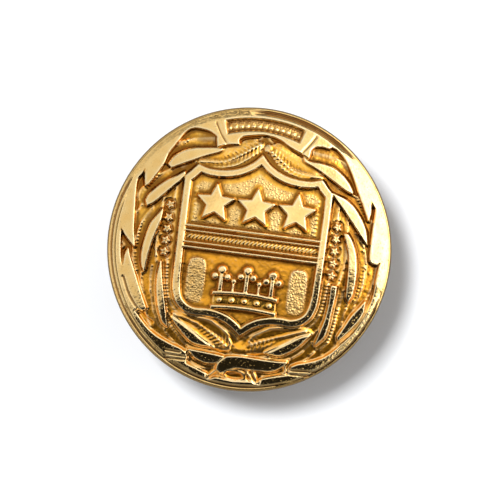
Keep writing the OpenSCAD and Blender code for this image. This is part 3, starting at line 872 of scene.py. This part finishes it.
def post_mesh():
    """Post with a true helical thread."""
    pitch, crest, root = 0.5, 1.47, 1.20
    count = 96
    a = np.arange(count) * 2 * np.pi / count
    z1 = 1.47
    rings = [(2.86, z1 + 0.8), (3.0, z1 + 0.68), (3.0, z1 + 0.02), (2.97, z1), (1.75, z1),
             (1.75, 0.02), (1.73, 0.0), (1.5, 0.0), (1.5, -2.52), (1.42, -2.6), (1.21, -2.62),
             (root, -2.70)]
    rings = [(np.full(count, r), z) for r, z in rings]
    z = -2.78
    while z > -6.62:
        ph = (-z / pitch + a / (2 * np.pi)) % 1.0
        tri = np.abs(ph - 0.5) * 2
        prof = root + (crest - root) * np.clip((tri - 0.18) / 0.64, 0, 1)
        env = crest if z > -6.4 else crest - (-6.4 - z) * 1.0
        start = root + (crest - root) * np.clip((-z - 3.05) / 0.25, 0, 1)
        rings.append((np.minimum(prof, np.minimum(env, start)), z))
        z -= 0.035
    rings += [(np.full(count, 1.17), -6.66), (np.full(count, 1.08), -6.78), (np.full(count, 1.03), -6.8)]
    return turned("post_threaded", rings, count)


# ------------------------------------------------------------------ the badge
gilt = gilt_material()
face = face_mesh()
face.data.materials.append(gilt)
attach(face, "badge")
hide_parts("face_shell")

post_brass = metal("post_brass", (0.72, 0.50, 0.22), (0.84, 0.62, 0.30), 0.26, (1, 1, 14), 900)
post = post_mesh()
post.data.materials.append(post_brass)
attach(post, "badge")
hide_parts("screw_post")


def dress(node, mat):
    o = nodes[node]
    if not o.material_slots:
        o.data.materials.append(mat)
    for s in o.material_slots:
        s.material = mat
    return o


dress("filler_disc", board_material())
dress("stiffener_disc", metal("plated_steel", (0.50, 0.51, 0.53), (0.64, 0.65, 0.67), 0.38, None, 2500))
dress("back_plate", metal("back_brass", (0.74, 0.52, 0.22), (0.86, 0.64, 0.31), 0.30, (1, 12, 1), 700))
dress("locating_pins", post_brass)
dress("clamping_disc", metal("disc_brass", (0.78, 0.56, 0.25), (0.88, 0.67, 0.33), 0.28, None, 2600))
dress("thumb_nut", metal("nut_brass", (0.84, 0.62, 0.28), (0.93, 0.72, 0.36), 0.22, (1, 1, 10), 800))

# ------------------------------------------------------------------ the stage
bpy.ops.mesh.primitive_plane_add(size=3.0, location=(0, 0, -0.00722))
floor = bpy.context.object
floor.name = "floor"
m, t, b = material("floor_white")
n = noise(t, 60, 3)
t.links.new(ramp(t, n.outputs["Fac"], [(0.3, (0.88, 0.885, 0.90)), (0.7, (0.895, 0.90, 0.915))]), b.inputs["Base Color"])
b.inputs["Roughness"].default_value = 0.9
b.inputs["Specular IOR Level"].default_value = 0.0
geo = t.nodes.new("ShaderNodeNewGeometry")
clear = t.nodes.new("ShaderNodeBsdfTransparent")
mix = t.nodes.new("ShaderNodeMixShader")
out = t.nodes["Material Output"]
t.links.new(geo.outputs["Backfacing"], mix.inputs[0])
# the metal sees the table dimmer than the camera does
dim = t.nodes.new("ShaderNodeBsdfDiffuse")
dim.inputs["Color"].default_value = (0.21, 0.195, 0.175, 1)
path = t.nodes.new("ShaderNodeLightPath")
pick = t.nodes.new("ShaderNodeMixShader")
t.links.new(path.outputs["Is Glossy Ray"], pick.inputs[0])
t.links.new(b.outputs[0], pick.inputs[1])
t.links.new(dim.outputs[0], pick.inputs[2])
# the nut's face, which stands on the table, isn't black seen from below
near = math_node(t, "LESS_THAN", path.outputs["Ray Length"], 0.0004)
near = math_node(t, "MULTIPLY", near, path.outputs["Is Glossy Ray"])
through = t.nodes.new("ShaderNodeMixShader")
t.links.new(near, through.inputs[0])
t.links.new(pick.outputs[0], through.inputs[1])
t.links.new(clear.outputs[0], through.inputs[2])
t.links.new(through.outputs[0], mix.inputs[1])
t.links.new(clear.outputs[0], mix.inputs[2])
t.links.new(mix.outputs[0], out.inputs["Surface"])
floor.data.materials.append(m)

world = bpy.data.worlds.new("studio")
bpy.context.scene.world = world
world.use_nodes = True
wt = world.node_tree
bg = wt.nodes["Background"]
where = wt.nodes.new("ShaderNodeTexCoord")
spin = wt.nodes.new("ShaderNodeVectorRotate")
spin.rotation_type = "Z_AXIS"
spin.inputs["Angle"].default_value = -math.radians(7.4)
wt.links.new(where.outputs["Generated"], spin.inputs["Vector"])
axes = wt.nodes.new("ShaderNodeSeparateXYZ")
wt.links.new(spin.outputs["Vector"], axes.inputs["Vector"])
EAST, NORTH, UP = axes.outputs


def fade(src, a, b, lo, hi):
    q = wt.nodes.new("ShaderNodeMapRange")
    q.interpolation_type = "SMOOTHSTEP"
    for k, v in zip(("From Min", "From Max", "To Min", "To Max"), (a, b, lo, hi)):
        q.inputs[k].default_value = v
    wt.links.new(src, q.inputs["Value"])
    return q.outputs["Result"]


# a light tent: bright to the upper right, with its dark opening overhead and
# towards the bottom of the picture, and a glow round the horizon
bend = math_node(wt, "MULTIPLY", math_node(wt, "POWER", math_node(wt, "ABSOLUTE", EAST, 0.0), 4.0), 0.35)
split = math_node(wt, "ADD", NORTH, math_node(wt, "SUBTRACT", bend, math_node(wt, "MULTIPLY", EAST, 0.14)))
tent = math_node(wt, "MULTIPLY", fade(split, -0.25, -0.12, 0.0, 1.0), fade(EAST, -0.75, 0.55, 0.79, 1.06))
side = math_node(wt, "ADD", EAST, math_node(wt, "MULTIPLY", math_node(wt, "MAXIMUM", NORTH, 0.0), 0.3))
tent = math_node(wt, "MULTIPLY", tent, fade(side, 0.62, 0.85, 1.0, 3.4))
tent = math_node(wt, "MULTIPLY", tent, fade(UP, 0.84, 0.97, 1.0, 1.28))
low = math_node(wt, "MULTIPLY", fade(EAST, -0.8, 0.8, 1.0, 3.1), fade(NORTH, 0.35, 0.9, 1.12, 0.6))
low = math_node(wt, "MULTIPLY", low, fade(NORTH, -0.97, -0.4, 0.10, 1.0))
rim = fade(UP, 0.32, 0.24, 0.0, 1.0)
low = math_node(wt, "MULTIPLY", low, fade(UP, 0.03, 0.10, 0.05, 1.0))
high = math_node(wt, "ADD", UP, math_node(wt, "MULTIPLY", math_node(wt, "ABSOLUTE", EAST, 0.0), 0.16))
upper = math_node(wt, "MULTIPLY", tent, fade(high, 0.36, 0.48, 0.06, 1.0))
glow = math_node(wt, "ADD", upper, math_node(wt, "MULTIPLY", low, rim))
glow = math_node(wt, "ADD", glow, 0.015)
glow = math_node(wt, "ADD", glow, fade(UP, -0.05, -0.3, 0.0, 0.5))
lp = wt.nodes.new("ShaderNodeLightPath")
glow = math_node(wt, "MULTIPLY", glow, value_range(wt, lp.outputs["Is Diffuse Ray"], 0, 1, 1.0, 0.35))
wt.links.new(glow, bg.inputs["Strength"])
bg.inputs["Color"].default_value = (1, 1, 1, 1)
bg2 = wt.nodes.new("ShaderNodeBackground")
bg2.inputs["Color"].default_value = (0.93, 0.93, 0.93, 1)
bg2.inputs["Strength"].default_value = 1.0
wm = wt.nodes.new("ShaderNodeMixShader")
wt.links.new(lp.outputs["Is Camera Ray"], wm.inputs[0])
wt.links.new(bg.outputs[0], wm.inputs[1])
wt.links.new(bg2.outputs[0], wm.inputs[2])
wt.links.new(wm.outputs[0], wt.nodes["World Output"].inputs["Surface"])


def panel(name, centre, aim, size, radiance, colour=(1, 1, 1), glossy=True):
    """Rectangular soft light. Its power gives the panel that radiance."""
    d = bpy.data.lights.new(name, "AREA")
    d.shape = "RECTANGLE"
    d.size, d.size_y = size
    d.energy = radiance * math.pi * size[0] * size[1]
    d.color = colour
    o = bpy.data.objects.new(name, d)
    bpy.context.scene.collection.objects.link(o)
    from mathutils import Vector
    o.location = centre
    o.rotation_euler = (Vector(aim) - Vector(centre)).to_track_quat("-Z", "Y").to_euler()
    o.visible_camera = False
    o.visible_glossy = glossy
    return o


TURN = math.radians(7.4)


def turn(x, y, z):
    """From the picture's right and up to the badge's axes."""
    c, s = math.cos(TURN), math.sin(TURN)
    return (c * x - s * y, s * x + c * y, z)


def flat_panel(name, x0, x1, y0, y1, z, radiance, colour=(1, 1, 1)):
    o = panel(name, (0, 0, 1), (0, 0, 0), (x1 - x0, y1 - y0), radiance, colour)
    o.location = turn((x0 + x1) / 2, (y0 + y1) / 2, z)
    o.rotation_euler = (0, 0, TURN)
    return o


panel("key", turn(-0.30, 0.30, 1.0), (0, 0, 0), (0.26, 0.26), 56, (0.97, 0.985, 1.0), glossy=False)

# ----------------------------------------------------------------- the camera
cam_data = bpy.data.cameras.new("camera")
cam_data.sensor_width = 36
cam_data.lens = 200
cam_data.clip_start = 0.01
cam_data.clip_end = 10
cam = bpy.data.objects.new("camera", cam_data)
bpy.context.scene.collection.objects.link(cam)
dx, dy = 0.7 * 0.099, 0.5 * 0.099
cx, cy, _ = turn(dx, dy * -1, 0)
cam.location = (cx * MM, cy * MM, 0.2738)
cam.rotation_euler = (0, 0, TURN)
bpy.context.scene.camera = cam
bpy.context.scene.view_settings.view_transform = "Standard"
bpy.context.scene.view_settings.look = "None"
